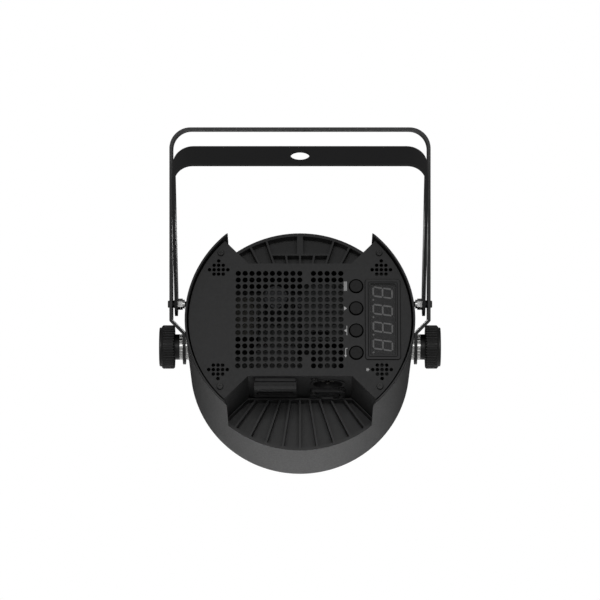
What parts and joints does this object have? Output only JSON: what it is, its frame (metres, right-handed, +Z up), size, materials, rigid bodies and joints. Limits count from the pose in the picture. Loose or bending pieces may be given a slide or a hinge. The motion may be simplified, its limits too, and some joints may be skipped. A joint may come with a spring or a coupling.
{
  "type": "par can light",
  "caption": "Short round stage wash light on a double hanging yoke, with a vented rear panel, buttons, a display, clamping knobs and plug sockets in a recess.",
  "frame": {"origin": "centre of the hanging hole, on the top face of the outer yoke's strap", "axes": "+Z up along the hanging bolt, +Y the way the beam leaves, +X to the right as seen from behind the lamp"},
  "size_m": [0.2006, 0.1678, 0.249],
  "materials": {
    "black_powder_coat": "fine satin powder coat",
    "housing_coat": "satin moulded and coated black",
    "black_plastic": "fine textured moulding",
    "knob_plastic": "matt moulded",
    "button_plastic": "semi gloss",
    "display_filter": "smoked gloss",
    "display_segment": "unlit segments",
    "zinc_steel": "zinc plated",
    "black_steel": "black oxide",
    "nickel_contact": "nickel plated",
    "brass": "turned",
    "circuit_board": "solder mask",
    "component_plastic": "moulded",
    "capacitor_sleeve": "shrink sleeve",
    "transformer_core": "ferrite and tape",
    "aluminium": "as extruded",
    "clear_glass": "clear polycarbonate",
    "clear_lens": "clear acrylic",
    "rubber": "matt",
    "wire_jacket": "insulated",
    "fuse_glass": "clear glass, metal ends"
  },
  "bodies": {
    "yoke": {"outer_yoke": "black_powder_coat", "link_bolts": "black_steel", "link_spacers": "black_plastic", "link_nuts": "zinc_steel"},
    "inner_yoke": {"inner_yoke": "black_powder_coat"},
    "head": {"housing": "housing_coat", "pivot_inserts": "brass", "rear_cover": "black_plastic", "cover_screws": "black_steel", "display_bezel": "black_plastic", "display_window": "display_filter", "display_module": "component_plastic", "display_digits": "display_segment", "button_switches": "component_plastic", "control_board": "circuit_board", "control_parts": "component_plastic", "board_pillars": "brass", "board_screws": "zinc_steel", "microphone": "nickel_contact", "power_inlet": "black_plastic", "inlet_pins": "nickel_contact", "dmx_input": "black_plastic", "dmx_input_pins": "nickel_contact", "dmx_output": "black_plastic", "dmx_output_contacts": "nickel_contact", "connector_screws": "black_steel", "supply_board": "circuit_board", "transformer": "transformer_core", "capacitors": "capacitor_sleeve", "supply_heat_sink": "aluminium", "supply_standoffs": "brass", "supply_screws": "zinc_steel", "heat_sink": "aluminium", "led_board": "circuit_board", "led_emitters": "clear_lens", "lenses": "clear_lens", "lens_holder": "black_plastic", "front_window": "clear_glass", "window_gasket": "rubber", "front_bezel": "housing_coat", "bezel_screws": "zinc_steel", "mains_wires": "wire_jacket", "led_lead": "wire_jacket", "friction_washer_left": "zinc_steel", "friction_washer_right": "zinc_steel"},
    "clamp_right": {"clamp_washer_right": "zinc_steel"},
    "knob_right": {"knob_right": "knob_plastic", "knob_cap_right": "knob_plastic", "knob_stud_right": "zinc_steel"},
    "clamp_left": {"clamp_washer_left": "zinc_steel"},
    "knob_left": {"knob_left": "knob_plastic", "knob_cap_left": "knob_plastic", "knob_stud_left": "zinc_steel"},
    "button_menu": {"button_menu": "button_plastic"},
    "button_up": {"button_up": "button_plastic"},
    "button_down": {"button_down": "button_plastic"},
    "button_enter": {"button_enter": "button_plastic"},
    "fuse_drawer": {"fuse_drawer": "black_plastic", "fuse": "fuse_glass"},
    "release_latch": {"release_latch": "black_plastic"}
  },
  "joints": [
    {"name": "head_tilt", "type": "hinge", "parent": "yoke", "child": "head", "pos_m": [0, 0, -0.1565], "axis": [1, 0, 0], "continuous": true},
    {"name": "inner_yoke_swing", "type": "hinge", "parent": "yoke", "child": "inner_yoke", "pos_m": [0, 0, -0.1259], "axis": [1, 0, 0], "range_deg": [-122, 58]},
    {"name": "clamp_shift_right", "type": "slide", "parent": "head", "child": "clamp_right", "axis": [1, 0, 0], "range_m": [0, 0.0025]},
    {"name": "knob_turn_right", "type": "hinge", "parent": "clamp_right", "child": "knob_right", "pos_m": [0, 0, -0.1565], "axis": [1, 0, 0], "range_deg": [0, 720]},
    {"name": "clamp_shift_left", "type": "slide", "parent": "head", "child": "clamp_left", "axis": [-1, 0, 0], "range_m": [0, 0.0025]},
    {"name": "knob_turn_left", "type": "hinge", "parent": "clamp_left", "child": "knob_left", "pos_m": [0, 0, -0.1565], "axis": [-1, 0, 0], "range_deg": [0, 720]},
    {"name": "button_menu_press", "type": "slide", "parent": "head", "child": "button_menu", "axis": [0, 0.9613, -0.2756], "range_m": [0, 0.001], "stiffness_N_per_m": 300, "springref_m": -0.0005},
    {"name": "button_up_press", "type": "slide", "parent": "head", "child": "button_up", "axis": [0, 0.9613, -0.2756], "range_m": [0, 0.001], "stiffness_N_per_m": 300, "springref_m": -0.0005},
    {"name": "button_down_press", "type": "slide", "parent": "head", "child": "button_down", "axis": [0, 0.9613, -0.2756], "range_m": [0, 0.001], "stiffness_N_per_m": 300, "springref_m": -0.0005},
    {"name": "button_enter_press", "type": "slide", "parent": "head", "child": "button_enter", "axis": [0, 0.9613, -0.2756], "range_m": [0, 0.001], "stiffness_N_per_m": 300, "springref_m": -0.0005},
    {"name": "fuse_drawer_slide", "type": "slide", "parent": "head", "child": "fuse_drawer", "axis": [0, -0.2756, -0.9613], "range_m": [0, 0.014]},
    {"name": "release_latch_press", "type": "slide", "parent": "head", "child": "release_latch", "axis": [0, 0.2756, 0.9613], "range_m": [0, 0.0015], "stiffness_N_per_m": 300, "springref_m": -0.0005}
  ],
  "couplings": [
    {"joint": "knob_turn_right", "follows": "clamp_shift_right", "rad_per_m": 5026.5},
    {"joint": "knob_turn_left", "follows": "clamp_shift_left", "rad_per_m": 5026.5}
  ]
}
